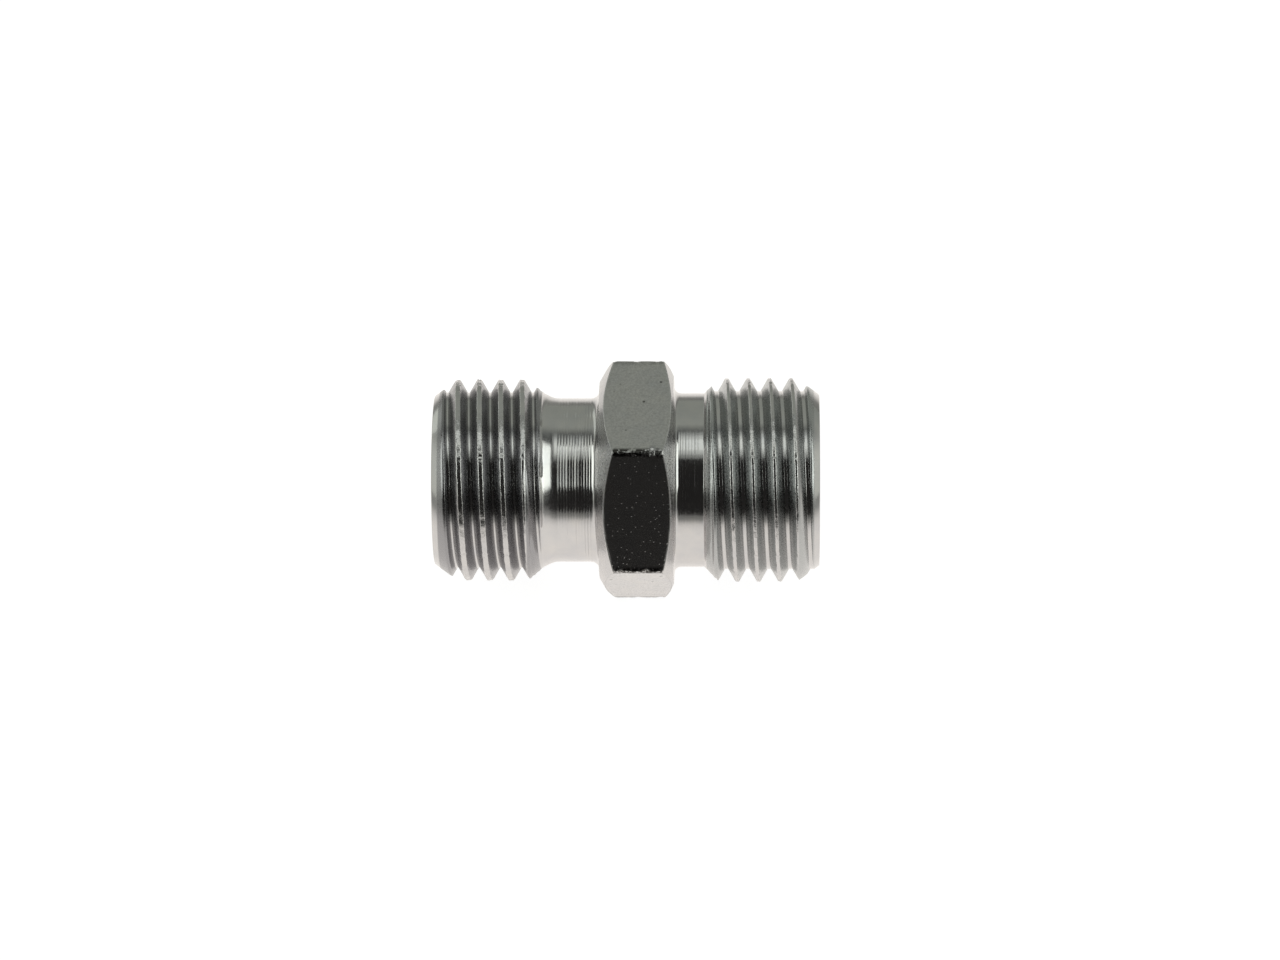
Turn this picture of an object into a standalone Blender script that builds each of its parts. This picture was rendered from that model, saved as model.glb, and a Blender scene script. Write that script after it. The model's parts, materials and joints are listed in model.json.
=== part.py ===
"""A hex nipple: hexagonal steel bar, turned down to a threaded spigot at each end and bored through.

The bore lies along X, the hexagon stands on one of its flats, and the origin is half way along the axis.
The model follows the lathe: a hexagonal bar, the shape that turning and boring leave, and a groove cut
for each thread.
"""

import math

import bmesh
import bpy
from mathutils import Matrix, Vector

MM = 0.001
FULL_TURN = 2 * math.pi

# Both threads: right-hand, straight, 18 threads to the inch, with 60 degree flanks.
THREAD_PITCH = 25.4 / 18 * MM
FLANK_ANGLE = math.radians(30)

# The hexagon. The bar is as wide as the larger thread, and this much more on each flat.
HEX_WIDTH = 4.9 * MM
FLAT_ABOVE_CREST = 0.36 * MM

# The bore, with a 60 degree cone seat in each mouth.
BORE_RADIUS = 3.55 * MM
SEAT_ANGLE = math.radians(30)
END_LAND = 0.85 * MM

# How far the turned relief behind each thread stays below the thread's root.
RELIEF_BELOW_ROOT = 0.04 * MM

# Each end of the spigots: the chamfer that lets the thread start.
LEAD_CHAMFER_LENGTH = 1.5 * MM
LEAD_BELOW_ROOT = 0.23 * MM
END_EDGE_RADIUS = 0.12 * MM

# How finely the model is faceted.
SIDES = 48
ARC_STEPS = 3

# Room that a cutter has beyond what it cuts, and how near two points are made one.
CUTTER_CLEARANCE = 0.3 * MM
WELD_DISTANCE = 0.002 * MM

# Where two facets meet at more than this, the edge between them stays sharp.
CREASE_ANGLE = math.radians(20)


class Spigot:
    """One threaded end. Its lengths are counted outwards from the hexagon's face on its side."""

    def __init__(
        self,
        side,
        major_radius,
        crest_flat,
        root_flat,
        thread_length,
        neck_length,
        neck_below_root,
        shoulder_fillet,
        relief_angle,
        relief_fillet,
        inner_chamfer_angle,
        hex_chamfer_inset,
        hex_chamfer_angle,
        crest_from_end,
    ):
        thread_depth = (THREAD_PITCH - crest_flat - root_flat) / 2 / math.tan(FLANK_ANGLE)
        self.side = side
        self.major_radius = major_radius
        self.crest_flat = crest_flat
        self.root_flat = root_flat
        self.root_radius = major_radius - thread_depth
        self.neck_radius = self.root_radius - neck_below_root
        self.face_radius = self.root_radius - LEAD_BELOW_ROOT
        self.neck_length = neck_length
        self.reach = neck_length + thread_length
        self.shoulder_fillet = shoulder_fillet
        self.relief_angle = relief_angle
        self.relief_fillet = relief_fillet
        self.inner_chamfer_angle = inner_chamfer_angle
        self.hex_chamfer_inset = hex_chamfer_inset
        self.hex_chamfer_angle = hex_chamfer_angle
        self.crest_from_end = crest_from_end


LEFT = Spigot(
    side=-1,
    major_radius=6.65 * MM,
    crest_flat=THREAD_PITCH / 5,
    root_flat=THREAD_PITCH / 10,
    thread_length=7.2 * MM,
    neck_length=3.7 * MM,
    neck_below_root=0.40 * MM,
    shoulder_fillet=0.6 * MM,
    relief_angle=math.radians(26),
    relief_fillet=0.8 * MM,
    inner_chamfer_angle=math.radians(40),
    hex_chamfer_inset=0.6 * MM,
    hex_chamfer_angle=math.radians(30),
    crest_from_end=1.36 * MM,
)
RIGHT = Spigot(
    side=1,
    major_radius=6.74 * MM,
    crest_flat=THREAD_PITCH / 8,
    root_flat=THREAD_PITCH / 6,
    thread_length=7.5 * MM,
    neck_length=2.1 * MM,
    neck_below_root=0.14 * MM,
    shoulder_fillet=0.5 * MM,
    relief_angle=math.radians(45),
    relief_fillet=0.1 * MM,
    inner_chamfer_angle=math.radians(45),
    hex_chamfer_inset=0.25 * MM,
    hex_chamfer_angle=math.radians(25),
    crest_from_end=0.64 * MM,
)

FLAT_RADIUS = max(LEFT.major_radius, RIGHT.major_radius) + FLAT_ABOVE_CREST
CORNER_RADIUS = FLAT_RADIUS / math.cos(math.pi / 6)
OVERALL_LENGTH = LEFT.reach + HEX_WIDTH + RIGHT.reach


def hex_face_x(spigot):
    """Where the hexagon's face on this side stands. The origin is half way along the nipple."""
    if spigot.side < 0:
        return LEFT.reach - OVERALL_LENGTH / 2
    return OVERALL_LENGTH / 2 - RIGHT.reach


def rounded(corners):
    """Points (x, radius) of an outline, with an arc at each corner (x, radius, fillet) that is filleted."""
    points = []
    for i, (x, r, fillet) in enumerate(corners):
        corner = Vector((x, r))
        if not fillet:
            points.append(corner)
            continue
        back = (Vector(corners[i - 1][:2]) - corner).normalized()
        ahead = (Vector(corners[i + 1][:2]) - corner).normalized()
        half_angle = back.angle(ahead) / 2
        centre = corner + (back + ahead).normalized() * (fillet / math.sin(half_angle))
        start = (corner + back * (fillet / math.tan(half_angle)) - centre).normalized()
        end = (corner + ahead * (fillet / math.tan(half_angle)) - centre).normalized()
        for step in range(ARC_STEPS + 1):
            points.append(centre + start.slerp(end, step / ARC_STEPS) * fillet)
    return points


def outer_outline(spigot):
    """The outside of one spigot, from above the hexagon's corner out to the end and into the bore."""
    relief_top = spigot.root_radius - RELIEF_BELOW_ROOT
    relief_length = (relief_top - spigot.neck_radius) / math.tan(spigot.relief_angle)
    inner_chamfer = (spigot.major_radius - relief_top) / math.tan(spigot.inner_chamfer_angle)
    chamfer_radius = FLAT_RADIUS - spigot.hex_chamfer_inset
    past_corner = CORNER_RADIUS + CUTTER_CLEARANCE
    seat_radius = spigot.face_radius - END_LAND
    seat_depth = (seat_radius - BORE_RADIUS) / math.tan(SEAT_ANGLE)
    corners = [
        (-(past_corner - chamfer_radius) * math.tan(spigot.hex_chamfer_angle), past_corner, 0),
        (0, chamfer_radius, 0),
        (0, spigot.neck_radius, spigot.shoulder_fillet),
        (spigot.neck_length - relief_length, spigot.neck_radius, spigot.relief_fillet),
        (spigot.neck_length, relief_top, 0),
        (spigot.neck_length + inner_chamfer, spigot.major_radius, 0),
        (spigot.reach - LEAD_CHAMFER_LENGTH, spigot.major_radius, 0),
        (spigot.reach, spigot.face_radius, END_EDGE_RADIUS),
        (spigot.reach, seat_radius, 0),
        (spigot.reach - seat_depth, BORE_RADIUS, 0),
    ]
    face = hex_face_x(spigot)
    return [Vector((face + spigot.side * point.x, point.y)) for point in rounded(corners)]


def mesh_object(name, bm):
    """A new object that holds this bmesh, with its faces pointing out."""
    bmesh.ops.recalc_face_normals(bm, faces=bm.faces)
    mesh = bpy.data.meshes.new(name)
    bm.to_mesh(mesh)
    bm.free()
    made = bpy.data.objects.new(name, mesh)
    bpy.context.scene.collection.objects.link(made)
    return made


def hexagonal_bar():
    """The stock: a hexagonal bar along X, longer than the nipple, with a flat on top and underneath."""
    bm = bmesh.new()
    bmesh.ops.create_cone(
        bm,
        cap_ends=True,
        segments=6,
        radius1=CORNER_RADIUS,
        radius2=CORNER_RADIUS,
        depth=OVERALL_LENGTH + 2 * CUTTER_CLEARANCE,
    )
    bmesh.ops.rotate(bm, verts=bm.verts, matrix=Matrix.Rotation(math.pi / 2, 3, "Y"))
    top_corner = max(bm.verts, key=lambda vertex: vertex.co.z)
    if top_corner.co.z > FLAT_RADIUS + WELD_DISTANCE:
        bmesh.ops.rotate(bm, verts=bm.verts, matrix=Matrix.Rotation(math.pi / 6, 3, "X"))
    return mesh_object("nipple_body", bm)


def turned_shape():
    """All that turning and boring can leave of the bar, as one outline spun about X."""
    outline = list(reversed(outer_outline(LEFT))) + outer_outline(RIGHT)
    bm = bmesh.new()
    rim = [bm.verts.new((point.x, 0, point.y)) for point in outline]
    edges = [bm.edges.new((rim[i - 1], rim[i])) for i in range(len(rim))]
    bmesh.ops.spin(
        bm,
        geom=rim + edges,
        cent=(0, 0, 0),
        axis=(1, 0, 0),
        angle=FULL_TURN,
        steps=SIDES,
        use_merge=True,
    )
    return mesh_object("turned_shape", bm)


def thread_groove(spigot):
    """The helical groove between the crests of one thread. It starts and ends clear of the metal."""
    step = FULL_TURN / SIDES
    half_root = spigot.root_flat / 2
    half_mouth = (THREAD_PITCH - spigot.crest_flat / 2) / 2
    mouth_radius = spigot.root_radius + (half_mouth - half_root) / math.tan(FLANK_ANGLE)
    run_out = half_mouth + CUTTER_CLEARANCE / 2
    end_x = spigot.side * OVERALL_LENGTH / 2
    inner_x = hex_face_x(spigot) + spigot.side * spigot.neck_length
    first_x = min(end_x, inner_x) - run_out
    last_x = max(end_x, inner_x) + run_out
    groove_at_y = end_x - spigot.side * spigot.crest_from_end + THREAD_PITCH / 2
    first_step = math.floor((first_x - groove_at_y) / THREAD_PITCH * SIDES)
    last_step = math.ceil((last_x - groove_at_y) / THREAD_PITCH * SIDES)
    centre_x = groove_at_y + first_step / SIDES * THREAD_PITCH
    section = [
        (-half_root, spigot.root_radius),
        (half_root, spigot.root_radius),
        (half_mouth, mouth_radius),
        (-half_mouth, mouth_radius),
    ]
    bm = bmesh.new()
    rim = [bm.verts.new((centre_x + along, radius, 0)) for along, radius in section]
    face = bm.faces.new(rim)
    bmesh.ops.rotate(bm, verts=rim, matrix=Matrix.Rotation(first_step * step, 3, "X"))
    bmesh.ops.spin(
        bm,
        geom=[face],
        cent=(0, 0, 0),
        axis=(1, 0, 0),
        dvec=(THREAD_PITCH / SIDES, 0, 0),
        angle=(last_step - first_step) * step,
        steps=last_step - first_step,
    )
    side_name = "left" if spigot.side < 0 else "right"
    return mesh_object(f"{side_name}_thread_groove", bm)


def machine(body, tool, operation):
    """Cuts the body with a tool, which stays in the scene as a wire that no render shows."""
    tool.hide_render = True
    tool.display_type = "WIRE"
    modifier = body.modifiers.new(tool.name, "BOOLEAN")
    modifier.operation = operation
    modifier.solver = "EXACT"
    modifier.object = tool


def zinc_plated_steel():
    """Bright zinc over turned steel: a pale, slightly blue metal."""
    material = bpy.data.materials.new("zinc_plated_steel")
    material.use_nodes = True
    shader = material.node_tree.nodes["Principled BSDF"]
    shader.inputs["Base Color"].default_value = (0.58, 0.59, 0.60, 1)
    shader.inputs["Metallic"].default_value = 1
    shader.inputs["Roughness"].default_value = 0.24
    return material


def apply_cuts(body):
    """Makes the cut shape the body's own mesh, with no doubled points, smooth but for its creases."""
    graph = bpy.context.evaluated_depsgraph_get()
    cut_mesh = bpy.data.meshes.new_from_object(body.evaluated_get(graph))
    bm = bmesh.new()
    bm.from_mesh(cut_mesh)
    bmesh.ops.remove_doubles(bm, verts=bm.verts, dist=WELD_DISTANCE)
    bmesh.ops.dissolve_degenerate(bm, edges=bm.edges, dist=WELD_DISTANCE)
    bm.to_mesh(cut_mesh)
    bm.free()
    body.modifiers.clear()
    body.data = cut_mesh
    cut_mesh.name = body.name
    cut_mesh.shade_smooth()
    cut_mesh.set_sharp_from_angle(angle=CREASE_ANGLE)


def main():
    for old in list(bpy.data.objects):
        bpy.data.objects.remove(old)
    body = hexagonal_bar()
    machine(body, turned_shape(), "INTERSECT")
    machine(body, thread_groove(LEFT), "DIFFERENCE")
    machine(body, thread_groove(RIGHT), "DIFFERENCE")
    apply_cuts(body)
    body.data.materials.clear()
    body.data.materials.append(zinc_plated_steel())


main()
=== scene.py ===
"""A hex nipple of zinc-plated steel on a white light table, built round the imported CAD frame.

All lengths are in metres in the frame's axes. The bore runs along X, and the hexagon stands on
one of its flats.
"""

import json
import math

import bmesh
import bpy
import numpy as np
from mathutils import Matrix, Vector


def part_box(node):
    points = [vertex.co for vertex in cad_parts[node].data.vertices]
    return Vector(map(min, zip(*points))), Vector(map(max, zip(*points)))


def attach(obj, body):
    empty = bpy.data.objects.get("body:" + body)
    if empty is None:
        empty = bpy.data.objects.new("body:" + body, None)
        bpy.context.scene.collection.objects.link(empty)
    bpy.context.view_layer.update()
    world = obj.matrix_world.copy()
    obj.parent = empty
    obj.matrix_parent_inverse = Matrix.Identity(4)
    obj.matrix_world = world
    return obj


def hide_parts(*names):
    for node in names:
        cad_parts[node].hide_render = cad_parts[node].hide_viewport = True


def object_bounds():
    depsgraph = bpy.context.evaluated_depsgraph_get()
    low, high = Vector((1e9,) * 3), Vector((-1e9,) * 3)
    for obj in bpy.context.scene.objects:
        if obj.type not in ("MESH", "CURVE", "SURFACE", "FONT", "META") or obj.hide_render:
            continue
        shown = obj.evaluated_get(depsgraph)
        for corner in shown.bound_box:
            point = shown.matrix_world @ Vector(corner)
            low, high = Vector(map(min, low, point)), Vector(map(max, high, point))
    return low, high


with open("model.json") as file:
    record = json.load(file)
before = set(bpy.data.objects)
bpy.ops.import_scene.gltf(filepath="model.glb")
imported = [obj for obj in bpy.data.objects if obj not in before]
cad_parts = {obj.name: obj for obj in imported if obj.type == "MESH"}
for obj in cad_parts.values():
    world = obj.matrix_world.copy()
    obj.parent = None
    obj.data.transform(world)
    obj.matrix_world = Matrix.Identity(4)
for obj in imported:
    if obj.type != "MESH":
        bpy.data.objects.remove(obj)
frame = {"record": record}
cad_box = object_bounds()
MM = 0.001

# ------------------------------------------------------------------------------------------------
# The camera: a long lens above the front of the table, looking down at the nipple's middle.
# The bore's axis lies level across the picture, with the left end on the left.
# ------------------------------------------------------------------------------------------------
CAMERA_ELEVATION = math.radians(47.4)
CAMERA_DISTANCE = 416 * MM
CAMERA_RIGHT_OF_MIDDLE = 8.4 * MM
CAMERA_AIM = Vector((0.85 * MM, 0, 0))
# Blender takes these two in millimetres.
LENS_LENGTH = 177
SENSOR_WIDTH = 36

camera_data = bpy.data.cameras.new("camera")
camera_data.lens = LENS_LENGTH
camera_data.sensor_width = SENSOR_WIDTH
camera = bpy.data.objects.new("camera", camera_data)
bpy.context.scene.collection.objects.link(camera)
camera.location = (
    CAMERA_RIGHT_OF_MIDDLE,
    -CAMERA_DISTANCE * math.cos(CAMERA_ELEVATION),
    CAMERA_DISTANCE * math.sin(CAMERA_ELEVATION),
)
ahead = (CAMERA_AIM - camera.location).normalized()
level = (Vector((1, 0, 0)) - ahead * ahead.x).normalized()
camera.rotation_euler = Matrix((level, level.cross(ahead), -ahead)).transposed().to_euler()
bpy.context.scene.camera = camera
bpy.context.scene.view_settings.view_transform = "Standard"


# ------------------------------------------------------------------------------------------------
# The light table: a sheet of white opal acrylic, lit from below, that the nipple lies on.
# It shows no edge and next to no shadow, and the light that it throws is strongest in its middle.
# ------------------------------------------------------------------------------------------------
def srgb(hex_colour):
    """The linear colour, with alpha, of a colour given as six hex digits."""
    parts = [int(hex_colour[i:i + 2], 16) / 255 for i in (0, 2, 4)]
    return tuple(p / 12.92 if p <= 0.04045 else ((p + 0.055) / 1.055) ** 2.4 for p in parts) + (1,)


def add(tree, kind, inputs=None, **settings):
    """Adds a node with its settings. Each input named gets a value or another node's output."""
    node = tree.nodes.new(kind)
    for name, value in settings.items():
        setattr(node, name, value)
    for name, value in (inputs or {}).items():
        if isinstance(value, bpy.types.NodeSocket):
            tree.links.new(value, node.inputs[name])
        else:
            node.inputs[name].default_value = value
    return node


TABLE_REACH = 1.5
OPAL_ROUGHNESS = 0.6
OPAL = srgb("8a8a89")
OPAL_LIGHT = srgb("fffaf5")
WHITE = srgb("ffffff")
STRONGEST_LIGHT = 0.94
STRONGEST_WITHIN = 8 * MM
WEAKEST_LIGHT = 0.12
WEAKEST_BEYOND = 90 * MM
LIGHT_IN_VIEW = 0.93

table_mesh = bpy.data.meshes.new("light_table")
table_mesh.from_pydata(
    [
        (x * TABLE_REACH, y * TABLE_REACH, cad_box[0].z)
        for x, y in ((-1, -1), (1, -1), (1, 1), (-1, 1))
    ],
    [],
    [(0, 1, 2, 3)],
)
light_table = bpy.data.objects.new("light_table", table_mesh)
bpy.context.scene.collection.objects.link(light_table)
opal_acrylic = bpy.data.materials.new("opal_acrylic")
opal_acrylic.use_nodes = True
table_mesh.materials.append(opal_acrylic)
tree = opal_acrylic.node_tree
opal_shader = tree.nodes["Principled BSDF"]
opal_shader.inputs["Base Color"].default_value = OPAL
opal_shader.inputs["Roughness"].default_value = OPAL_ROUGHNESS
place = add(tree, "ShaderNodeTexCoord")
from_middle = add(
    tree,
    "ShaderNodeVectorMath",
    {0: place.outputs["Object"], 1: (1, 1, 0)},
    operation="MULTIPLY",
)
distance = add(tree, "ShaderNodeVectorMath", {0: from_middle.outputs[0]}, operation="LENGTH")
falling_off = add(
    tree,
    "ShaderNodeMapRange",
    {
        "Value": distance.outputs["Value"],
        "From Min": STRONGEST_WITHIN,
        "From Max": WEAKEST_BEYOND,
        "To Min": STRONGEST_LIGHT,
        "To Max": WEAKEST_LIGHT,
    },
    interpolation_type="SMOOTHERSTEP",
)
in_view = add(tree, "ShaderNodeLightPath")
lit = add(
    tree,
    "ShaderNodeMix",
    {0: in_view.outputs["Is Camera Ray"], 2: falling_off.outputs[0], 3: LIGHT_IN_VIEW},
)
tree.links.new(lit.outputs[0], opal_shader.inputs["Emission Strength"])
light_colour = add(
    tree,
    "ShaderNodeMix",
    {0: in_view.outputs["Is Camera Ray"], 6: OPAL_LIGHT, 7: WHITE},
    data_type="RGBA",
)
tree.links.new(light_colour.outputs[2], opal_shader.inputs["Emission Color"])

# ------------------------------------------------------------------------------------------------
# The studio: three dim softboxes that overlap overhead, a bright one at each side and a faint one
# low at the back left, in a room that is dark in front and grey behind. Bright plating is a
# mirror, so these shapes are what its light and dark bands are made of.
# ------------------------------------------------------------------------------------------------
SOFTBOX_LIGHT = srgb("f9fff8")
OVERHEAD = (0, 0.087, 0.996)
ALONG_BORE = (1, 0, 0)
UP_TO_THE_BACK = (0, 0.90, 0.44)
SOFTBOXES = (
    # name, direction, the way its length runs, distance, length, width, radiance
    ("overhead_skirt", OVERHEAD, ALONG_BORE, 0.50, 0.42, 0.34, 0.30),
    ("overhead", OVERHEAD, ALONG_BORE, 0.51, 0.36, 0.24, 0.36),
    ("overhead_middle", OVERHEAD, ALONG_BORE, 0.52, 0.30, 0.14, 0.36),
    ("left", (-0.74, -0.21, 0.60), UP_TO_THE_BACK, 0.45, 0.44, 0.235, 1.65),
    ("right", (0.74, -0.21, 0.60), UP_TO_THE_BACK, 0.45, 0.44, 0.235, 1.65),
    ("low_back_left", (-0.66, 0.735, 0.15), (0.74, 0.66, 0), 0.48, 0.28, 0.22, 0.4),
)
for name, direction, lengthways, distance, length, width, radiance in SOFTBOXES:
    lamp = bpy.data.lights.new("softbox_" + name, "AREA")
    lamp.shape = "RECTANGLE"
    lamp.size = length
    lamp.size_y = width
    # A flat panel gives off pi times its radiance from each square metre.
    lamp.energy = radiance * math.pi * length * width
    lamp.color = SOFTBOX_LIGHT[:3]
    softbox = bpy.data.objects.new("softbox_" + name, lamp)
    outwards = Vector(direction).normalized()
    across = outwards.cross(Vector(lengthways)).normalized()
    softbox.matrix_world = Matrix((across.cross(outwards), across, outwards)).transposed().to_4x4()
    softbox.location = outwards * distance
    softbox.visible_camera = False
    bpy.context.scene.collection.objects.link(softbox)

# The room's tone goes by how far back a direction points: 0 is level with the nipple or in front
# of it, and 1 is straight back. The side walls take over where a direction points far sideways.
ROOM_TONES = ((0.24, "272625"), (0.42, "5c5f5d"), (0.6, "a4a8a0"), (0.95, "9a9e96"))
SIDE_WALL_TONE = srgb("d4d7cf")
SIDE_WALLS_START = 0.72
SIDE_WALLS_FULL = 0.95

room = bpy.data.worlds.new("room")
room.use_nodes = True
bpy.context.scene.world = room
tree = room.node_tree
tree.nodes.clear()
direction = add(tree, "ShaderNodeTexCoord")
axes = add(tree, "ShaderNodeSeparateXYZ", {"Vector": direction.outputs["Generated"]})
front_to_back = add(tree, "ShaderNodeValToRGB", {"Fac": axes.outputs["Y"]})
stops = front_to_back.color_ramp.elements
while len(stops) < len(ROOM_TONES):
    stops.new(1)
for stop, (position, tone) in zip(stops, ROOM_TONES):
    stop.position = position
    stop.color = srgb(tone)
sideways = add(tree, "ShaderNodeMath", {0: axes.outputs["X"]}, operation="ABSOLUTE")
to_the_side = add(
    tree,
    "ShaderNodeMapRange",
    {"Value": sideways.outputs[0], "From Min": SIDE_WALLS_START, "From Max": SIDE_WALLS_FULL},
    interpolation_type="SMOOTHSTEP",
)
room_tone = add(
    tree,
    "ShaderNodeMix",
    {0: to_the_side.outputs[0], 6: front_to_back.outputs["Color"], 7: SIDE_WALL_TONE},
    data_type="RGBA",
)
in_view = add(tree, "ShaderNodeLightPath")
seen_tone = add(
    tree,
    "ShaderNodeMix",
    {0: in_view.outputs["Is Camera Ray"], 6: room_tone.outputs[2], 7: WHITE},
    data_type="RGBA",
)
backdrop = add(tree, "ShaderNodeBackground", {"Color": seen_tone.outputs[2]})
add(tree, "ShaderNodeOutputWorld", {"Surface": backdrop.outputs[0]})


# ------------------------------------------------------------------------------------------------
# The nipple, from bar to finished part. It is a single piece: cold-drawn hexagonal free-cutting
# steel, turned down at each end, threaded, bored through, and bright zinc plated all over. Its
# skin is rings of points about the bore's axis, from the left mouth over the outside and back.
# ------------------------------------------------------------------------------------------------
TURN = 2 * math.pi
SIDES = 6
SIDE_DEGREES = 360 / SIDES
HALF_SIDE = math.pi / SIDES
body_low, body_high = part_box("nipple_body")
mounts = {mount["name"]: mount["pos_m"] for mount in frame["record"]["mounts"]}
LEFT_END_X = body_low.x
RIGHT_END_X = body_high.x
LEFT_SHOULDER_X = mounts["left_shoulder"][0]
RIGHT_SHOULDER_X = mounts["right_shoulder"][0]
FLAT_RADIUS = mounts["hexagon_top_flat"][2]

# Angles about the axis, from +Y towards +Z. They crowd together at the hexagon's six corners,
# and the steps are in degrees from a corner.
CORNER_STEPS = (0, 0.24, 0.48, 0.72, 1.0, 1.6, 2.8)
BETWEEN_CORNERS = tuple(np.linspace(4.6, SIDE_DEGREES - 4.6, 23))
TO_NEXT_CORNER = tuple(SIDE_DEGREES - step for step in CORNER_STEPS[:0:-1])
one_side = CORNER_STEPS + BETWEEN_CORNERS + TO_NEXT_CORNER
angles = np.radians([SIDE_DEGREES * side + step for side in range(SIDES) for step in one_side])
from_corner = np.radians(np.tile(one_side, SIDES))
from_corner = np.minimum(from_corner, 2 * HALF_SIDE - from_corner)

rings = []


def add_ring(x, radius, finish, seam=None):
    """Adds a ring of the skin, with the finish of the band after it.
    A ring that leans along the helix ends where the ring numbered seam starts, one pitch on.
    """
    x = np.broadcast_to(x, angles.shape)
    radius = np.broadcast_to(radius, angles.shape)
    rings.append((x, radius, finish, len(rings) if seam is None else seam))


def lesser(a, b, rounding):
    """The smaller of two surfaces, blended over this much height where they cross."""
    share = np.clip(0.5 + (b - a) / rounding / 2, 0, 1)
    return b + (a - b) * share - rounding * share * (1 - share)


def greater(a, b, rounding):
    """The larger of two surfaces, blended over this much height where they cross."""
    return -lesser(-np.asarray(a), -np.asarray(b), rounding)


def roughened(place, finest, count, seed):
    """A repeatable ragged line about 0, made of this many waves, finest to five times as long."""
    rng = np.random.default_rng(seed)
    lengths = finest * rng.uniform(1, 5, count)
    starts = rng.uniform(0, TURN, count)
    waves = np.sin(TURN * np.asarray(place)[..., None] / lengths + starts)
    return waves.sum(axis=-1) / math.sqrt(count)


# ------------------------------------------------------------------------------------------------
# The turned ends: what the lathe leaves of each spigot but for its thread. From the hexagon
# outwards they are the plunged neck with its fillets and feed marks, the relief cone, the lead
# chamfer, the faced end and its cone seat.
# ------------------------------------------------------------------------------------------------
ZINC = srgb("d2cfcc")
ZINC_SHADED = srgb("bfbfc2")
# Patterns are sized by how many of their features fit in a millimetre.
CLOUDS_PER_MM = 0.9
GRAINS_PER_MM = 5
FEED_MARKS_PER_MM = 6.5
FEED_WANDERS_PER_MM = 0.6
FEED_WANDER_IN_MM = 0.12
# What a grain adds to the height of the feed marks.
GRAIN_SHARE = 0.4
# Less than 1, so that the feed marks don't cancel out on a cone that falls away at 45 degrees.
FACING_SHARE = 0.73
# Where most of a noise's values lie.
NOISE_LOW = 0.3
NOISE_HIGH = 0.75


def zinc_plated(name, roughness):
    """A new material of zinc on steel: it, its tree, its shader and the place on the part in mm."""
    material = bpy.data.materials.new(name)
    material.use_nodes = True
    tree = material.node_tree
    shader = tree.nodes["Principled BSDF"]
    shader.inputs["Metallic"].default_value = 1
    shader.inputs["Roughness"].default_value = roughness
    place = add(tree, "ShaderNodeTexCoord")
    place_in_mm = add(
        tree,
        "ShaderNodeVectorMath",
        {0: place.outputs["Object"], "Scale": 1 / MM},
        operation="SCALE",
    )
    return material, tree, shader, place_in_mm.outputs[0]


def clouded(tree, place, clouds_per_mm, light, shaded):
    """The plating's colour, which drifts between two tones over the surface."""
    clouds = add(tree, "ShaderNodeTexNoise", {"Vector": place, "Scale": clouds_per_mm, "Detail": 3})
    colour = add(
        tree,
        "ShaderNodeMix",
        {0: clouds.outputs["Fac"], 6: light, 7: shaded},
        data_type="RGBA",
    )
    return colour.outputs[2]


def distance_off_axis(tree, place):
    """How far a point is from the bore's axis, in mm."""
    off_axis = add(tree, "ShaderNodeVectorMath", {0: place, 1: (0, 1, 1)}, operation="MULTIPLY")
    distance = add(tree, "ShaderNodeVectorMath", {0: off_axis.outputs[0]}, operation="LENGTH")
    return distance.outputs["Value"]


def feed_mark_place(tree, place):
    """How far along the tool's path a point is, in mm: it grows along the axis and away from it."""
    axes = add(tree, "ShaderNodeSeparateXYZ", {"Vector": place})
    along_path = add(
        tree,
        "ShaderNodeMath",
        {0: distance_off_axis(tree, place), 1: FACING_SHARE, 2: axes.outputs["X"]},
        operation="MULTIPLY_ADD",
    )
    return along_path.outputs[0]


def turned_steel(name, least, most, marks_height):
    """Turned steel, zinc plated: nearly a mirror, combed round the axis by the tool's feed.
    Its roughness varies between the least and the most given.
    """
    material, tree, shader, place = zinc_plated(name, least)
    wander = add(
        tree,
        "ShaderNodeTexNoise",
        {"Vector": place, "Scale": FEED_WANDERS_PER_MM, "Detail": 2},
    )
    path = add(
        tree,
        "ShaderNodeMath",
        {0: wander.outputs["Fac"], 1: FEED_WANDER_IN_MM, 2: feed_mark_place(tree, place)},
        operation="MULTIPLY_ADD",
    )
    marks = add(
        tree,
        "ShaderNodeTexNoise",
        {"W": path.outputs[0], "Scale": FEED_MARKS_PER_MM, "Detail": 3},
        noise_dimensions="1D",
    )
    grain = add(
        tree,
        "ShaderNodeTexNoise",
        {"Vector": place, "Scale": GRAINS_PER_MM, "Detail": 4, "Roughness": 0.6},
    )
    relief = add(
        tree,
        "ShaderNodeMath",
        {0: grain.outputs["Fac"], 1: GRAIN_SHARE, 2: marks.outputs["Fac"]},
        operation="MULTIPLY_ADD",
    )
    bump = add(
        tree,
        "ShaderNodeBump",
        {"Height": relief.outputs[0], "Strength": 1, "Distance": marks_height},
    )
    tree.links.new(bump.outputs[0], shader.inputs["Normal"])
    dulling = add(
        tree,
        "ShaderNodeMapRange",
        {
            "Value": grain.outputs["Fac"],
            "From Min": NOISE_LOW,
            "From Max": NOISE_HIGH,
            "To Min": least,
            "To Max": most,
        },
    )
    tree.links.new(dulling.outputs[0], shader.inputs["Roughness"])
    colour = clouded(tree, place, CLOUDS_PER_MM, ZINC, ZINC_SHADED)
    tree.links.new(colour, shader.inputs["Base Color"])
    return material


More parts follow.
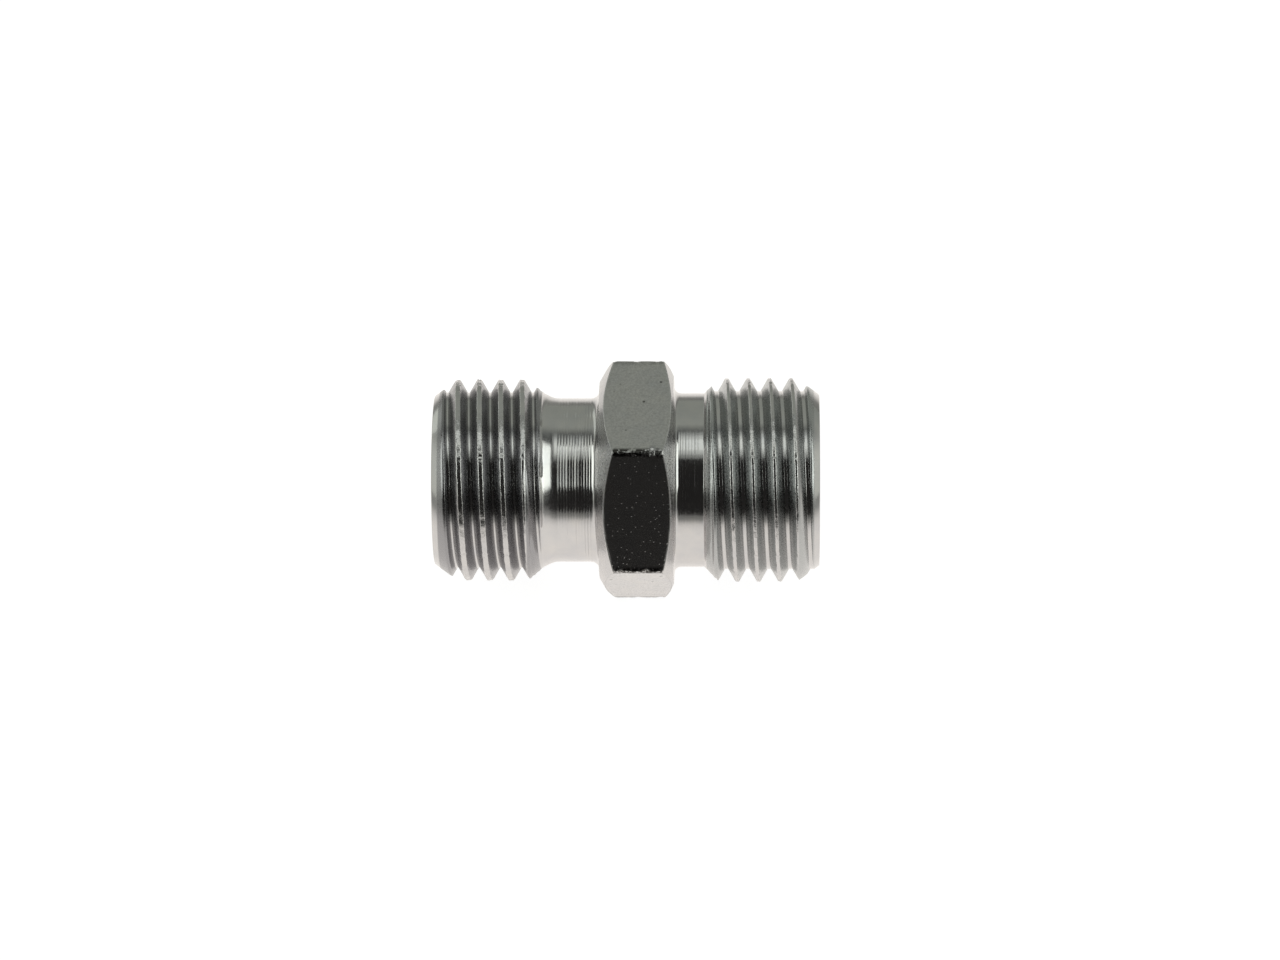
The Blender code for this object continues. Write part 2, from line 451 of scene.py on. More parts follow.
# The real feed is about 0.05 mm a turn, which is too fine to show, so the marks are drawn about
# 0.15 mm apart. The relief cones and the hexagon's chamfers were cut with a faster feed and are
# duller, and the burred edges round the flats are the dullest.
turned = turned_steel("zinc_plated_turned_steel", 0.09, 0.2, 0.003 * MM)
relieved = turned_steel("zinc_plated_relief", 0.15, 0.24, 0.004 * MM)
chamfered = turned_steel("zinc_plated_chamfer", 0.24, 0.34, 0.006 * MM)
burred_edge = turned_steel("zinc_plated_burred_edge", 0.34, 0.48, 0.012 * MM)

PITCH = 25.4 / 18 * MM
FLANK_SLOPE = math.tan(math.radians(30))
LEAD_LENGTH = 1.5 * MM
LEAD_BELOW_ROOT = 0.23 * MM
RELIEF_BELOW_ROOT = 0.04 * MM
END_LAND = 0.85 * MM
BORE_RADIUS = 3.55 * MM
SEAT_SLOPE = math.tan(math.radians(30))
END_EDGE = 0.12 * MM
SEAT_EDGE = 0.06 * MM
BORE_EDGE = 0.1 * MM
SHARP_EDGE = 0.03 * MM


class Spigot:
    """One end's sizes. Its lengths count outwards from the hexagon's face on its side."""

    def __init__(
        self,
        side,
        shoulder_x,
        end_x,
        major,
        crest,
        root,
        neck_length,
        neck_below_root,
        relief_angle,
        relief_fillet,
        start_angle,
        chamfer_inset,
        chamfer_angle,
        shoulder_fillet,
        crest_from_end,
        feed,
        feed_height,
    ):
        self.side = side
        self.shoulder_x = shoulder_x
        self.end_x = end_x
        self.reach = abs(end_x - shoulder_x)
        self.major = major
        self.crest = crest
        self.root = root
        self.root_radius = major - (PITCH - crest - root) / 2 / FLANK_SLOPE
        self.neck_length = neck_length
        self.neck_radius = self.root_radius - neck_below_root
        self.relief_top = self.root_radius - RELIEF_BELOW_ROOT
        relief_slope = math.tan(math.radians(relief_angle))
        self.relief_length = (self.relief_top - self.neck_radius) / relief_slope
        self.relief_fillet = relief_fillet
        self.start_slope = math.tan(math.radians(start_angle))
        self.face_radius = self.root_radius - LEAD_BELOW_ROOT
        self.lead_slope = (major - self.face_radius) / LEAD_LENGTH
        self.lead_start = self.reach - (self.root_radius - self.face_radius) / self.lead_slope
        self.chamfer_radius = FLAT_RADIUS - chamfer_inset
        self.chamfer_slope = math.tan(math.radians(chamfer_angle))
        self.shoulder_fillet = shoulder_fillet
        self.crest_x = end_x - side * crest_from_end
        self.feed = feed
        self.feed_height = feed_height


# The necks' feed marks are mesh. Like the rest they are drawn coarser than the real ones.
left = Spigot(
    side=-1,
    shoulder_x=LEFT_SHOULDER_X,
    end_x=LEFT_END_X,
    major=6.65 * MM,
    crest=PITCH / 5,
    root=PITCH / 10,
    neck_length=3.7 * MM,
    neck_below_root=0.40 * MM,
    relief_angle=26,
    relief_fillet=1.5 * MM,
    start_angle=40,
    chamfer_inset=0.6 * MM,
    chamfer_angle=30,
    shoulder_fillet=0.6 * MM,
    crest_from_end=1.36 * MM,
    feed=0.192 * MM,
    feed_height=0.025 * MM,
)
right = Spigot(
    side=1,
    shoulder_x=RIGHT_SHOULDER_X,
    end_x=RIGHT_END_X,
    major=6.74 * MM,
    crest=PITCH / 8,
    root=PITCH / 6,
    neck_length=2.1 * MM,
    neck_below_root=0.14 * MM,
    relief_angle=45,
    relief_fillet=0.1 * MM,
    start_angle=45,
    chamfer_inset=0.25 * MM,
    chamfer_angle=25,
    shoulder_fillet=0.5 * MM,
    crest_from_end=0.64 * MM,
    feed=0.2 * MM,
    feed_height=0.012 * MM,
)


def rounded(corners, steps=4):
    """Points along an outline given as corners, each (along, radius, fillet), with their arcs."""
    points = [np.array(corners[0][:2])]
    for before, (along, radius, fillet), after in zip(corners, corners[1:], corners[2:]):
        corner = np.array((along, radius))
        back = np.array(before[:2]) - corner
        onward = np.array(after[:2]) - corner
        back = back / np.linalg.norm(back)
        onward = onward / np.linalg.norm(onward)
        half = math.acos(np.clip(back @ onward, -1, 1)) / 2
        middle = (back + onward) / np.linalg.norm(back + onward)
        centre = corner + middle * fillet / math.sin(half)
        sweep = math.pi / 2 - half
        across = np.array((-middle[1], middle[0]))
        if across @ back < 0:
            across = -across
        for step in range(steps + 1):
            turn = sweep * (1 - 2 * step / steps)
            points.append(centre + fillet * (across * math.sin(turn) - middle * math.cos(turn)))
    points.append(np.array(corners[-1][:2]))
    return points


def spread(points, longest):
    """The same outline with points added, so that no straight run is longer than this."""
    filled = [points[0]]
    for start, end in zip(points, points[1:]):
        pieces = max(1, math.ceil(np.linalg.norm(end - start) / longest))
        filled += [start + (end - start) * piece / pieces for piece in range(1, pieces + 1)]
    return filled


FACE_STEP = 0.25 * MM
NECK_STEP = 0.3 * MM
# The plain stretch of the neck between its last feed mark and the relief cone.
PLAIN_NECK = 0.25 * MM
# How far up the shoulder's fillet the first mark is.
FIRST_MARK_SHARE = 0.7
# Each mark's points and the width of its ridge are shares of the feed.
MARK_POINTS = (0.0, 0.3, 0.41, 0.5, 0.6)
RIDGE_AT = 0.5
RIDGE_WIDTH = 0.13
LOWEST_MARK = 0.82
HIGHEST_MARK = 1.15
MARK_SEED = 11


def neck_outline(spigot):
    """From the hexagon's face down to the neck and out to the thread, with its feed marks."""
    neck_end = spigot.neck_length - spigot.relief_length
    points = rounded(
        [
            (0, spigot.chamfer_radius - SHARP_EDGE, 0),
            (0, spigot.neck_radius, spigot.shoulder_fillet),
            (neck_end, spigot.neck_radius, spigot.relief_fillet),
            (spigot.neck_length, spigot.relief_top, 0),
        ],
        steps=5,
    )
    face = spread(points[:2], FACE_STEP)
    plain_x, plain_radius = np.transpose(spread(points[1:], NECK_STEP)[1:])
    first_mark = spigot.shoulder_fillet * FIRST_MARK_SHARE
    mark_count = round((neck_end - PLAIN_NECK - first_mark) / spigot.feed)
    rng = np.random.default_rng(MARK_SEED)
    heights = spigot.feed_height * rng.uniform(LOWEST_MARK, HIGHEST_MARK, mark_count)
    marks_end = first_mark + mark_count * spigot.feed
    stations = [x for x in plain_x if not first_mark <= x <= marks_end]
    for mark in range(mark_count):
        stations += [first_mark + (mark + share) * spigot.feed for share in MARK_POINTS]
    outline = list(face)
    for x in sorted(stations + [marks_end]):
        place = (x - first_mark) / spigot.feed
        mark = min(max(int(place), 0), mark_count - 1)
        ridge = heights[mark] * math.exp(-(((place - mark - RIDGE_AT) / RIDGE_WIDTH) ** 2))
        outline.append(np.array((x, np.interp(x, plain_x, plain_radius) + ridge)))
    return outline


# The relief cone with the fillet before it, as a share of the cone alone.
CONE_AND_FILLET = 1.4


def neck_finish(spigot, along):
    """The neck is brighter than the cone that rises from it to the thread."""
    neck_end = spigot.neck_length - CONE_AND_FILLET * spigot.relief_length
    return turned if along < neck_end else relieved


END_STEP = 0.4 * MM
# How much of the bore's wall comes with each seat.
BORE_MOUTH = 0.4 * MM


def end_outline(spigot):
    """From where the lead chamfer leaves the thread, over the faced end and down to the bore."""
    seat_radius = spigot.face_radius - END_LAND
    seat_depth = (seat_radius - BORE_RADIUS) / SEAT_SLOPE
    points = rounded(
        [
            (spigot.lead_start, spigot.root_radius, 0),
            (spigot.reach, spigot.face_radius, END_EDGE),
            (spigot.reach, seat_radius, SEAT_EDGE),
            (spigot.reach - seat_depth, BORE_RADIUS, BORE_EDGE),
            (spigot.reach - seat_depth - BORE_MOUTH, BORE_RADIUS, 0),
        ],
    )
    return spread(points, END_STEP)


# ------------------------------------------------------------------------------------------------
# The threads: 18 to the inch, right-hand, cut with a 60 degree tool. The left one's crests are
# blunt. The cut has raised a ragged lip along both edges of each crest, which the plating has
# made round and bright, and each thread runs out in a faint ridge.
# ------------------------------------------------------------------------------------------------
THREAD_WAVES = 14
CREST_ROUNDING = 0.05 * MM
ROOT_ROUNDING = 0.05 * MM
BURR_HEIGHT = 0.018 * MM
BURR_LENGTH = 0.22 * MM
BURR_SEED = 5
# In mm along the helix, so that the two threads' burrs differ.
BURR_START = 3
# The rings this close to a crest's edge follow its raggedness.
RAGGED_EDGE = 0.05 * MM
INNER_EDGE_SEED = 6
OUTER_EDGE_SEED = 7
LIP_HEIGHT = 0.035 * MM
LIP_WIDTH = 0.035 * MM
USUAL_LIP = 0.7
LIP_SWING = 0.6
HIGHEST_LIP = 2
LOW_SIDE_LIP = 0.45
INNER_LIP_SEED = 8
OUTER_LIP_SEED = 9
RUN_OUT_HEIGHT = 0.03 * MM
RUN_OUT_FEED = 0.26 * MM
RUN_OUT_ROUNDING = 0.03 * MM
LEAD_ROUNDING = 0.04 * MM
# Where a flank has rings: close to its ends, and at these shares of its width.
CREST_RING_GAP = 0.04 * MM
FLANK_RINGS = (0.35, 0.62)
ROOT_RING_GAPS = (0.09 * MM, 0.04 * MM)
IN_ROOT_RING_GAP = 0.035 * MM

# In mm from the crest and from the root: where the tearing and the flank's painted shade and extra
# roughness come in.
TEARING_STARTS = 0.13
TEARING_FULL = 0.03
FLANK_STARTS = 0.01
FLANK_FULL = 0.08
CUTTING_MARKS_PER_MM = 9
TEARS_PER_MM = 6


def cut_thread(name, spigot, flank_colour):
    """Thread-cut steel, zinc plated: torn on the crests, dull on the flanks and bright in the
    roots. The flanks' colour is painted darker towards the tone given, as painted shade.
    The crests' tearing is about 0.05 mm long, which is too fine to show, and is drawn at 0.15 mm.
    """
    material, tree, shader, place = zinc_plated(name, 0.17)
    radius = distance_off_axis(tree, place)
    crest_mm = spigot.major / MM
    root_mm = spigot.root_radius / MM
    near_crest = add(
        tree,
        "ShaderNodeMapRange",
        {
            "Value": radius,
            "From Min": crest_mm - TEARING_STARTS,
            "From Max": crest_mm - TEARING_FULL,
        },
        interpolation_type="SMOOTHSTEP",
    )
    above_root = add(
        tree,
        "ShaderNodeMapRange",
        {"Value": radius, "From Min": root_mm + FLANK_STARTS, "From Max": root_mm + FLANK_FULL},
        interpolation_type="SMOOTHSTEP",
    )
    on_flank = add(
        tree,
        "ShaderNodeMath",
        {0: above_root.outputs[0], 1: near_crest.outputs[0]},
        operation="SUBTRACT",
        use_clamp=True,
    )
    marks = add(
        tree,
        "ShaderNodeTexNoise",
        {"W": feed_mark_place(tree, place), "Scale": CUTTING_MARKS_PER_MM, "Detail": 2},
        noise_dimensions="1D",
    )
    tearing = add(
        tree,
        "ShaderNodeTexNoise",
        {"Vector": place, "Scale": TEARS_PER_MM, "Detail": 4, "Roughness": 0.65},
    )
    torn = add(
        tree,
        "ShaderNodeMapRange",
        {"Value": near_crest.outputs[0], "To Min": 1.2, "To Max": 8},
    )
    tearing_height = add(
        tree,
        "ShaderNodeMath",
        {0: tearing.outputs["Fac"], 1: torn.outputs[0], 2: marks.outputs["Fac"]},
        operation="MULTIPLY_ADD",
    )
    bump = add(
        tree,
        "ShaderNodeBump",
        {"Height": tearing_height.outputs[0], "Strength": 1, "Distance": 0.003 * MM},
    )
    tree.links.new(bump.outputs[0], shader.inputs["Normal"])
    dulling = add(
        tree,
        "ShaderNodeMapRange",
        {
            "Value": tearing.outputs["Fac"],
            "From Min": NOISE_LOW,
            "From Max": NOISE_HIGH,
            "To Min": 0.1,
            "To Max": 0.24,
        },
    )
    flank_dulling = add(
        tree,
        "ShaderNodeMath",
        {0: on_flank.outputs[0], 1: 0.1, 2: dulling.outputs[0]},
        operation="MULTIPLY_ADD",
    )
    tree.links.new(flank_dulling.outputs[0], shader.inputs["Roughness"])
    bright = clouded(tree, place, CLOUDS_PER_MM, ZINC, ZINC_SHADED)
    # Painted shade: the flanks' colour is mixed towards the darker tone given, and the crests and
    # roots keep the plain zinc.
    colour = add(
        tree,
        "ShaderNodeMix",
        {0: on_flank.outputs[0], 6: bright, 7: srgb(flank_colour)},
        data_type="RGBA",
    )
    tree.links.new(colour.outputs[2], shader.inputs["Base Color"])
    return material


# Both threads' flanks are painted darker as painted shade, the left one's more than the right
# one's.
left_threaded = cut_thread("zinc_plated_torn_thread", left, "9a999b")
right_threaded = cut_thread("zinc_plated_cut_thread", right, "b2b3b3")


def thread_rings(spigot, threaded):
    """The rings of a thread. They lean along the helix, so each crest and root follows one ring."""
    half_crest = spigot.crest / 2
    root_start = (PITCH - spigot.root) / 2
    flank = root_start - half_crest
    one_flank = [half_crest - CREST_RING_GAP, half_crest, half_crest + CREST_RING_GAP]
    one_flank += [half_crest + flank * share for share in FLANK_RINGS]
    one_flank += [root_start - gap for gap in ROOT_RING_GAPS]
    one_flank += [root_start, root_start + IN_ROOT_RING_GAP]
    pattern = sorted([0.0, PITCH / 2] + one_flank + [-offset for offset in one_flank])
    inner_x = spigot.shoulder_x + spigot.side * spigot.neck_length
    outer_x = spigot.shoulder_x + spigot.side * spigot.lead_start
    low, high = min(inner_x, outer_x), max(inner_x, outer_x)
    first_turn = math.floor((low - PITCH - spigot.crest_x) / PITCH) - 1
    last_turn = math.ceil((high - spigot.crest_x) / PITCH) + 1
    places = [
        spigot.crest_x + turn * PITCH + offset
        for turn in range(first_turn, last_turn + 1)
        for offset in pattern
    ]
    first = max(i for i, place in enumerate(places) if place + PITCH <= low)
    last = min(i for i, place in enumerate(places) if place >= high)
    last_ring = len(rings) + last - first
    for place in places[first:last + 1]:
        x = np.clip(place + PITCH * angles / TURN, low, high)
        from_crest = (place - spigot.crest_x + PITCH / 2) % PITCH - PITCH / 2
        along_helix = ((place - from_crest) / PITCH * TURN + angles) * spigot.major
        burr_place = along_helix + (BURR_START + spigot.side) * MM
        burr = BURR_HEIGHT * roughened(burr_place, BURR_LENGTH, THREAD_WAVES, BURR_SEED)
        edge_seed = INNER_EDGE_SEED if from_crest < 0 else OUTER_EDGE_SEED
        if abs(from_crest) < half_crest + RAGGED_EDGE:
            ragged = roughened(along_helix, BURR_LENGTH, THREAD_WAVES, edge_seed)
            from_crest = from_crest + BURR_HEIGHT * ragged
        flanks = spigot.major - (np.abs(from_crest) - half_crest) / FLANK_SLOPE
        lip_seed = INNER_LIP_SEED if place < spigot.crest_x else OUTER_LIP_SEED
        swing = LIP_SWING * roughened(along_helix, BURR_LENGTH, THREAD_WAVES, lip_seed)
        raised = np.clip(USUAL_LIP + swing, 0, HIGHEST_LIP)
        raised = raised * np.where(from_crest * spigot.side > 0, 1.0, LOW_SIDE_LIP)
        from_lip = np.abs(from_crest) - half_crest + LIP_WIDTH
        lip = LIP_HEIGHT * raised * np.exp(-((from_lip / LIP_WIDTH) ** 2))
        form = lesser(spigot.major - LIP_HEIGHT + burr + lip, flanks, CREST_ROUNDING)
        form = greater(form, spigot.root_radius, ROOT_ROUNDING)
        outward = np.abs(x - spigot.shoulder_x)
        past_neck = outward - spigot.neck_length
        start = spigot.relief_top + past_neck * spigot.start_slope
        start = start + RUN_OUT_HEIGHT * np.sin(TURN * past_neck / RUN_OUT_FEED)
        lead = spigot.face_radius + (spigot.reach - outward) * spigot.lead_slope
        radius = lesser(lesser(form, start, RUN_OUT_ROUNDING), lead, LEAD_ROUNDING)
        radius = np.where(x == inner_x, spigot.relief_top, radius)
        radius = np.where(x == outer_x, spigot.root_radius, radius)
        add_ring(x, radius, threaded, min(len(rings) + len(pattern), last_ring))


# ------------------------------------------------------------------------------------------------
# The hexagon: what is left of the drawn bar. Its flats are the bar's own dull skin. The lathe has
# cut a chamfer round each end, which leaves a curved and burred edge on each flat, and handling
# has nicked the corners and bruised the upper front one.
# ------------------------------------------------------------------------------------------------
BAR_CORNER = 0.14 * MM
HEXAGON_WAVES = 12
NICK_DEPTH = 0.05 * MM
NICK_LENGTH = 0.4 * MM
NICK_SEED = 33
# Along the nick pattern from one corner to the next, so that no two corners are alike.
NICK_SHIFT = 7 * MM
BRUISE_DEPTH = 0.11 * MM
BRUISE_X = 1.85 * MM
BRUISE_HALF_LENGTH = 0.65 * MM
# Corners are counted from +Y towards +Z.
BRUISED_CORNER = 2
CORNER_FLATTENING = 0.004 * MM
CORNER_ROUNDING = 0.01 * MM
ROLLED_EDGE_DEPTH = 0.022 * MM
ROLLED_EDGE_WIDTH = 0.03 * MM
# How far inside a flat's edge the rolled part is, in widths of it.
ROLLED_EDGE_INSET = 2.3
CHAMFER_EDGE = 0.06 * MM
CHAMFER_EDGE_SWING = 0.5
CHAMFER_EDGE_LENGTH = 0.3 * MM
CHAMFER_EDGE_SEED = 21
# Where the hexagon has rings: at these shares of a chamfer, at these distances outside a flat's
# edge, and this many between the two edges.
CHAMFER_RINGS = (0, 0.06, 0.4, 0.7)
EDGE_RINGS = np.array((0.05, 0.02, 0.0, -0.03, -0.05, -0.07, -0.09, -0.12)) * MM
FLAT_RINGS = 25

corner_reach = (FLAT_RADIUS - BAR_CORNER) / math.cos(HALF_SIDE)
half_flat = (FLAT_RADIUS - BAR_CORNER) * math.tan(HALF_SIDE)
on_arc = from_corner < HALF_SIDE - math.atan(half_flat / FLAT_RADIUS)
across_arc = np.where(on_arc, corner_reach * np.sin(from_corner), 0)
bar_radius = np.where(
    on_arc,
    corner_reach * np.cos(from_corner) + np.sqrt(BAR_CORNER**2 - across_arc**2),
    FLAT_RADIUS / np.cos(HALF_SIDE - from_corner),
)
corner_radius = bar_radius.max()

# Cold-drawn steel, zinc plated: pickled before plating, so it is matte, with a few pits, and
# grains of plating that catch the light. Its even grain is about 0.05 mm, which is too fine to
# show, and is drawn at 0.15 mm. Its corners are painted darker, most of all at the front: partly
# worn plating and partly painted shade, which stands in for the dark that the bruised upper front
# corner reflects.
MOTTLED_ZINC = srgb("8f8f8c")
BARE_STEEL = srgb("3b3936")
DRAWN_GRAINS_PER_MM = 7
DRAWING_LINES_PER_MM = (0.25, 3.5, 3.5)
SPECKS_PER_MM = 3.4
# What a speck adds to the height of the grain.
SPECK_HEIGHT = 2.1
PITS_PER_MM = 0.75
WORN_PATCHES_PER_MM = 3.2
# In mm inside the corners.
WEAR_STARTS = 0.197
WEAR_FULL = 0.077
# In mm along Y.
FRONT_WEAR_TO = -3
BACK_WEAR_FROM = 0
BACK_WEAR = 0.3

drawn, tree, shader, place = zinc_plated("zinc_plated_drawn_steel", 0.3)
grain = add(
    tree,
    "ShaderNodeTexNoise",
    {"Vector": place, "Scale": DRAWN_GRAINS_PER_MM, "Detail": 3, "Roughness": 0.6},
)
stretched = add(
    tree,
    "ShaderNodeVectorMath",
    {0: place, 1: DRAWING_LINES_PER_MM},
    operation="MULTIPLY",
)
drawing = add(
    tree,
    "ShaderNodeTexNoise",
    {"Vector": stretched.outputs[0], "Scale": 1, "Detail": 3},
)
speckle = add(
    tree,
    "ShaderNodeTexVoronoi",
    {"Vector": place, "Scale": SPECKS_PER_MM, "Randomness": 1},
)
speck = add(
    tree,
    "ShaderNodeMapRange",
    {
        "Value": speckle.outputs["Distance"],
        "From Min": 0.05,
        "From Max": 0.2,
        "To Min": 1,
        "To Max": 0,
    },
    interpolation_type="SMOOTHSTEP",
)
near_corner = add(
    tree,
    "ShaderNodeMapRange",
    {
        "Value": distance_off_axis(tree, place),
        "From Min": corner_radius / MM - WEAR_STARTS,
        "From Max": corner_radius / MM - WEAR_FULL,
    },
    interpolation_type="SMOOTHSTEP",
)
roughening = add(
    tree,
    "ShaderNodeMapRange",
    {"Value": near_corner.outputs[0], "To Min": 1.1, "To Max": 5},
)
grain_height = add(
    tree,
    "ShaderNodeMath",
    {0: grain.outputs["Fac"], 1: roughening.outputs[0], 2: drawing.outputs["Fac"]},
    operation="MULTIPLY_ADD",
)
height = add(
    tree,
    "ShaderNodeMath",
    {0: speck.outputs[0], 1: SPECK_HEIGHT, 2: grain_height.outputs[0]},
    operation="MULTIPLY_ADD",
)
bump = add(
    tree,
    "ShaderNodeBump",
    {"Height": height.outputs[0], "Strength": 1, "Distance": 0.0035 * MM},
)
tree.links.new(bump.outputs[0], shader.inputs["Normal"])
dulling = add(
    tree,
    "ShaderNodeMapRange",
    {
        "Value": grain.outputs["Fac"],
        "From Min": NOISE_LOW,
        "From Max": NOISE_HIGH,
        "To Min": 0.15,
        "To Max": 0.23,
    },
)
tree.links.new(dulling.outputs[0], shader.inputs["Roughness"])
mottling = add(
    tree,
    "ShaderNodeMapRange",
    {
        "Value": grain.outputs["Fac"],
        "From Min": 0.35,
        "From Max": 0.7,
        "To Min": 0,
        "To Max": 0.42,
    },
)
bright = clouded(tree, place, CLOUDS_PER_MM, ZINC, ZINC_SHADED)
mottled = add(
    tree,
    "ShaderNodeMix",
    {0: mottling.outputs[0], 6: bright, 7: MOTTLED_ZINC},
    data_type="RGBA",
)
pitting = add(
    tree,
    "ShaderNodeTexVoronoi",
    {"Vector": place, "Scale": PITS_PER_MM, "Randomness": 1},
)
pit = add(
    tree,
    "ShaderNodeMapRange",
    {
        "Value": pitting.outputs["Distance"],
        "From Min": 0.05,
        "From Max": 0.1,
        "To Min": 0.8,
        "To Max": 0,
    },
    interpolation_type="SMOOTHSTEP",
)
wear = add(
    tree,
    "ShaderNodeTexNoise",
    {"Vector": place, "Scale": WORN_PATCHES_PER_MM, "Detail": 2, "Roughness": 0.7},
)
worn_through = add(
    tree,
    "ShaderNodeMapRange",
    {
        "Value": wear.outputs["Fac"],
        "From Min": 0.42,
        "From Max": 0.52,
        "To Min": 0.1,
        "To Max": 0.95,
    },
    interpolation_type="SMOOTHSTEP",
)
place_axes = add(tree, "ShaderNodeSeparateXYZ", {"Vector": place})
handled_side = add(
    tree,
    "ShaderNodeMapRange",
    {
        "Value": place_axes.outputs["Y"],
        "From Min": FRONT_WEAR_TO,
        "From Max": BACK_WEAR_FROM,
        "To Min": 1,
        "To Max": BACK_WEAR,
    },
)
worn_corner = add(
    tree,
    "ShaderNodeMath",
    {0: near_corner.outputs[0], 1: worn_through.outputs[0]},
    operation="MULTIPLY",
)
handled_corner = add(
    tree,
    "ShaderNodeMath",
    {0: worn_corner.outputs[0], 1: handled_side.outputs[0]},
    operation="MULTIPLY",
)
darkened = add(
    tree,
    "ShaderNodeMath",
    {0: pit.outputs[0], 1: handled_corner.outputs[0]},
    operation="MAXIMUM",
)
# Partly painted shade: the corners, most of all at the front, are mixed towards a near-black tone,
# and so are the pits.
colour = add(
    tree,
    "ShaderNodeMix",
    {0: darkened.outputs[0], 6: mottled.outputs[2], 7: BARE_STEEL},
    data_type="RGBA",
)
tree.links.new(colour.outputs[2], shader.inputs["Base Color"])


def hexagon_rings():
    """The rings between the hexagon's faces. Near a chamfer they follow the edge of its cut."""
    left_edge = left.shoulder_x + (bar_radius - left.chamfer_radius) * left.chamfer_slope
    right_edge = right.shoulder_x - (bar_radius - right.chamfer_radius) * right.chamfer_slope
    left_start = left.shoulder_x + SHARP_EDGE * left.chamfer_slope
    right_start = right.shoulder_x - SHARP_EDGE * right.chamfer_slope
    left_cut = left_edge - EDGE_RINGS[0] - left_start
    right_cut = right_edge + EDGE_RINGS[0] - right_start
    flat_start = left_edge - EDGE_RINGS[-1]
    flat_end = right_edge + EDGE_RINGS[-1]
    places = [left_start + left_cut * share for share in CHAMFER_RINGS]
    finishes = [chamfered] * len(CHAMFER_RINGS)
    places += [left_edge - offset for offset in EDGE_RINGS]
    finishes += [chamfered] * 2 + [burred_edge] * 3 + [drawn] * 3
    for share in np.linspace(0, 1, FLAT_RINGS + 2)[1:-1]:
        places.append(flat_start + (flat_end - flat_start) * share)
        finishes.append(drawn)
    places += [right_edge + offset for offset in EDGE_RINGS[::-1]]
    finishes += [drawn] * 2 + [burred_edge] * 3 + [chamfered] * 3
    places += [right_start + right_cut * share for share in CHAMFER_RINGS[::-1]]
    finishes += [chamfered] * len(CHAMFER_RINGS)
    corner_of = np.round(angles / (2 * HALF_SIDE)) % SIDES
    round_hexagon = angles * FLAT_RADIUS
    swing = roughened(round_hexagon, CHAMFER_EDGE_LENGTH, HEXAGON_WAVES, CHAMFER_EDGE_SEED)
    ragged = 1 + CHAMFER_EDGE_SWING * swing
    for place, finish in zip(places, finishes):
        left_cone = left.chamfer_radius + (place - left.shoulder_x) / left.chamfer_slope
        right_cone = right.chamfer_radius + (right.shoulder_x - place) / right.chamfer_slope
        nick_place = place + corner_of * NICK_SHIFT
        nicks = np.clip(roughened(nick_place, NICK_LENGTH, HEXAGON_WAVES, NICK_SEED), 0, 2)
        from_bruise = (place - BRUISE_X) / BRUISE_HALF_LENGTH
        bruise = BRUISE_DEPTH * np.exp(-(from_bruise**4)) * (corner_of == BRUISED_CORNER)
        worn_radius = corner_radius - CORNER_FLATTENING - NICK_DEPTH * nicks - bruise
        radius = lesser(bar_radius, worn_radius, CORNER_ROUNDING)
        for cone in (left_cone, right_cone):
            radius = lesser(radius, cone, CHAMFER_EDGE * ragged)
        for inside in (place - left_edge, right_edge - place):
            from_rolled = inside / ROLLED_EDGE_WIDTH - ROLLED_EDGE_INSET
            radius = radius - ROLLED_EDGE_DEPTH * ragged * np.exp(-(from_rolled**2))
        add_ring(place, radius, finish)


# ------------------------------------------------------------------------------------------------
# The bore and the whole skin. The bore is drilled through from the right and reamed, so its wall
# is dull and ringed. Its rings close the skin, and all the rings are joined into one closed mesh
# that stands for the body.
# ------------------------------------------------------------------------------------------------
BORED_ZINC = srgb("b9b8b6")
BORED_ZINC_SHADED = srgb("9c9b9a")
BORE_CLOUDS_PER_MM = 0.7
REAMER_MARKS_PER_MM = 4
BORE_RINGS = 10
# Points closer than this are one point: a thread's rings meet where they are clipped to its ends.
WELD = 0.0002 * MM

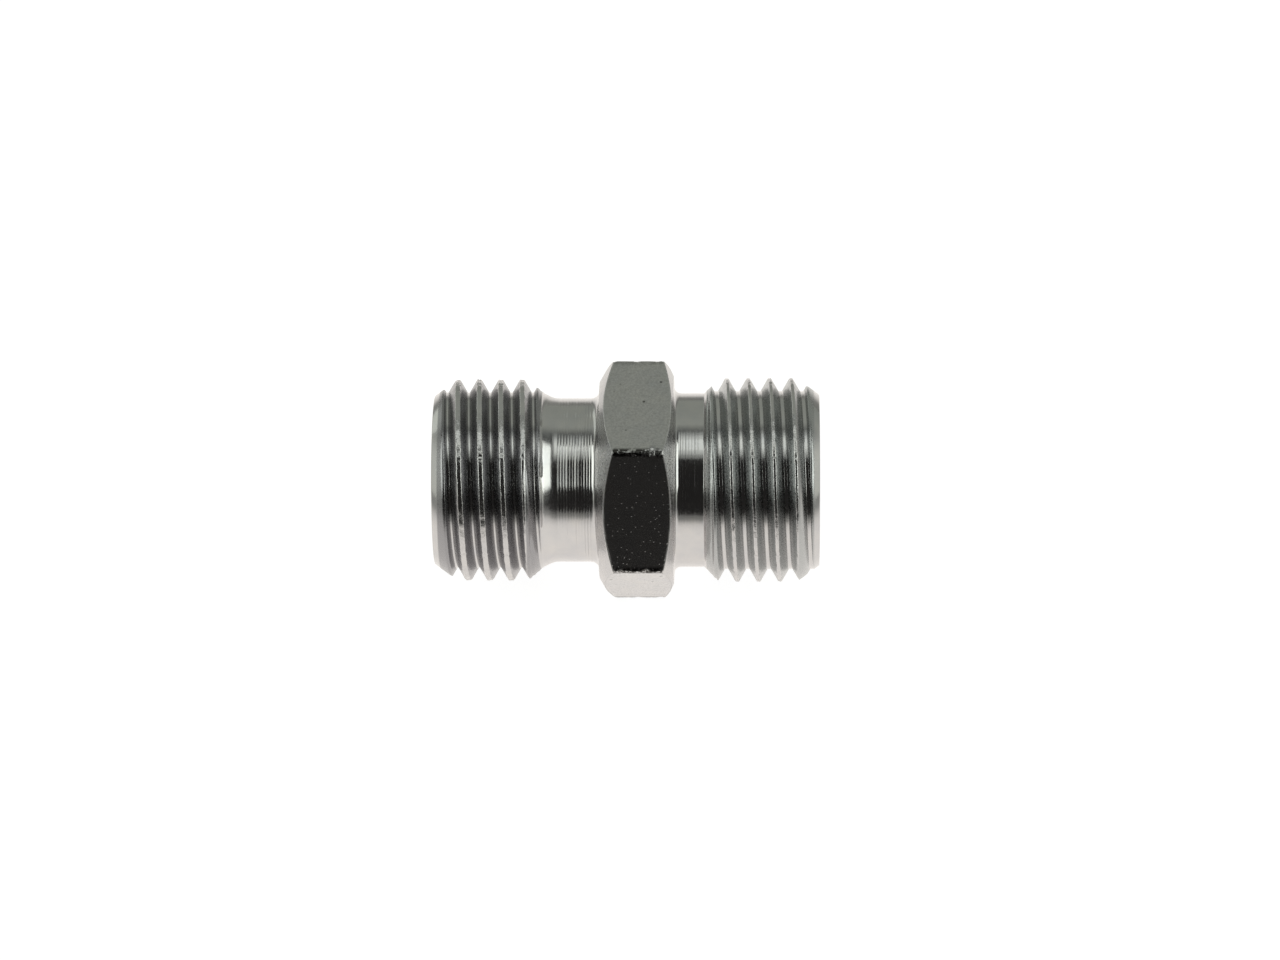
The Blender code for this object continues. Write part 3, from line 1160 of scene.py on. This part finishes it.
bored, tree, shader, place = zinc_plated("zinc_plated_bored_steel", 0.3)
marks = add(
    tree,
    "ShaderNodeTexNoise",
    {"W": feed_mark_place(tree, place), "Scale": REAMER_MARKS_PER_MM, "Detail": 3},
    noise_dimensions="1D",
)
bump = add(
    tree,
    "ShaderNodeBump",
    {"Height": marks.outputs["Fac"], "Strength": 1, "Distance": 0.008 * MM},
)
tree.links.new(bump.outputs[0], shader.inputs["Normal"])
colour = clouded(tree, place, BORE_CLOUDS_PER_MM, BORED_ZINC, BORED_ZINC_SHADED)
tree.links.new(colour, shader.inputs["Base Color"])

for along, radius in reversed(end_outline(left)):
    add_ring(left.shoulder_x - along, radius, turned)
thread_rings(left, left_threaded)
for along, radius in reversed(neck_outline(left)[:-1]):
    add_ring(left.shoulder_x - along, radius, neck_finish(left, along))
hexagon_rings()
for along, radius in neck_outline(right)[:-1]:
    add_ring(right.shoulder_x + along, radius, neck_finish(right, along))
thread_rings(right, right_threaded)
for along, radius in end_outline(right):
    add_ring(right.shoulder_x + along, radius, turned)
bore_from = rings[-1][0][0]
bore_to = rings[0][0][0]
for share in np.linspace(0, 1, BORE_RINGS + 2)[1:-1]:
    add_ring(bore_from + (bore_to - bore_from) * share, BORE_RADIUS, bored)

count = len(angles)
points = np.concatenate(
    [
        np.stack((x, radius * np.cos(angles), radius * np.sin(angles)), axis=1)
        for x, radius, _, _ in rings
    ]
)
finish_order = [
    turned,
    relieved,
    chamfered,
    burred_edge,
    drawn,
    left_threaded,
    right_threaded,
    bored,
]
faces = []
face_finishes = []
for here, (_, _, finish, seam) in enumerate(rings):
    there = (here + 1) % len(rings)
    for step in range(count):
        last_step = step == count - 1
        near = seam * count if last_step else here * count + step + 1
        far = rings[there][3] * count if last_step else there * count + step + 1
        faces.append((here * count + step, near, far, there * count + step))
        face_finishes.append(finish_order.index(finish))

skin_mesh = bpy.data.meshes.new("turned_nipple")
skin_mesh.from_pydata(points.tolist(), [], faces)
for finish in finish_order:
    skin_mesh.materials.append(finish)
skin_mesh.polygons.foreach_set("material_index", face_finishes)
skin = bmesh.new()
skin.from_mesh(skin_mesh)
bmesh.ops.remove_doubles(skin, verts=skin.verts, dist=WELD)
bmesh.ops.recalc_face_normals(skin, faces=skin.faces)
skin.to_mesh(skin_mesh)
skin.free()
skin_mesh.shade_smooth()
turned_nipple = bpy.data.objects.new("turned_nipple", skin_mesh)
bpy.context.scene.collection.objects.link(turned_nipple)
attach(turned_nipple, "root")
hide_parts("nipple_body")
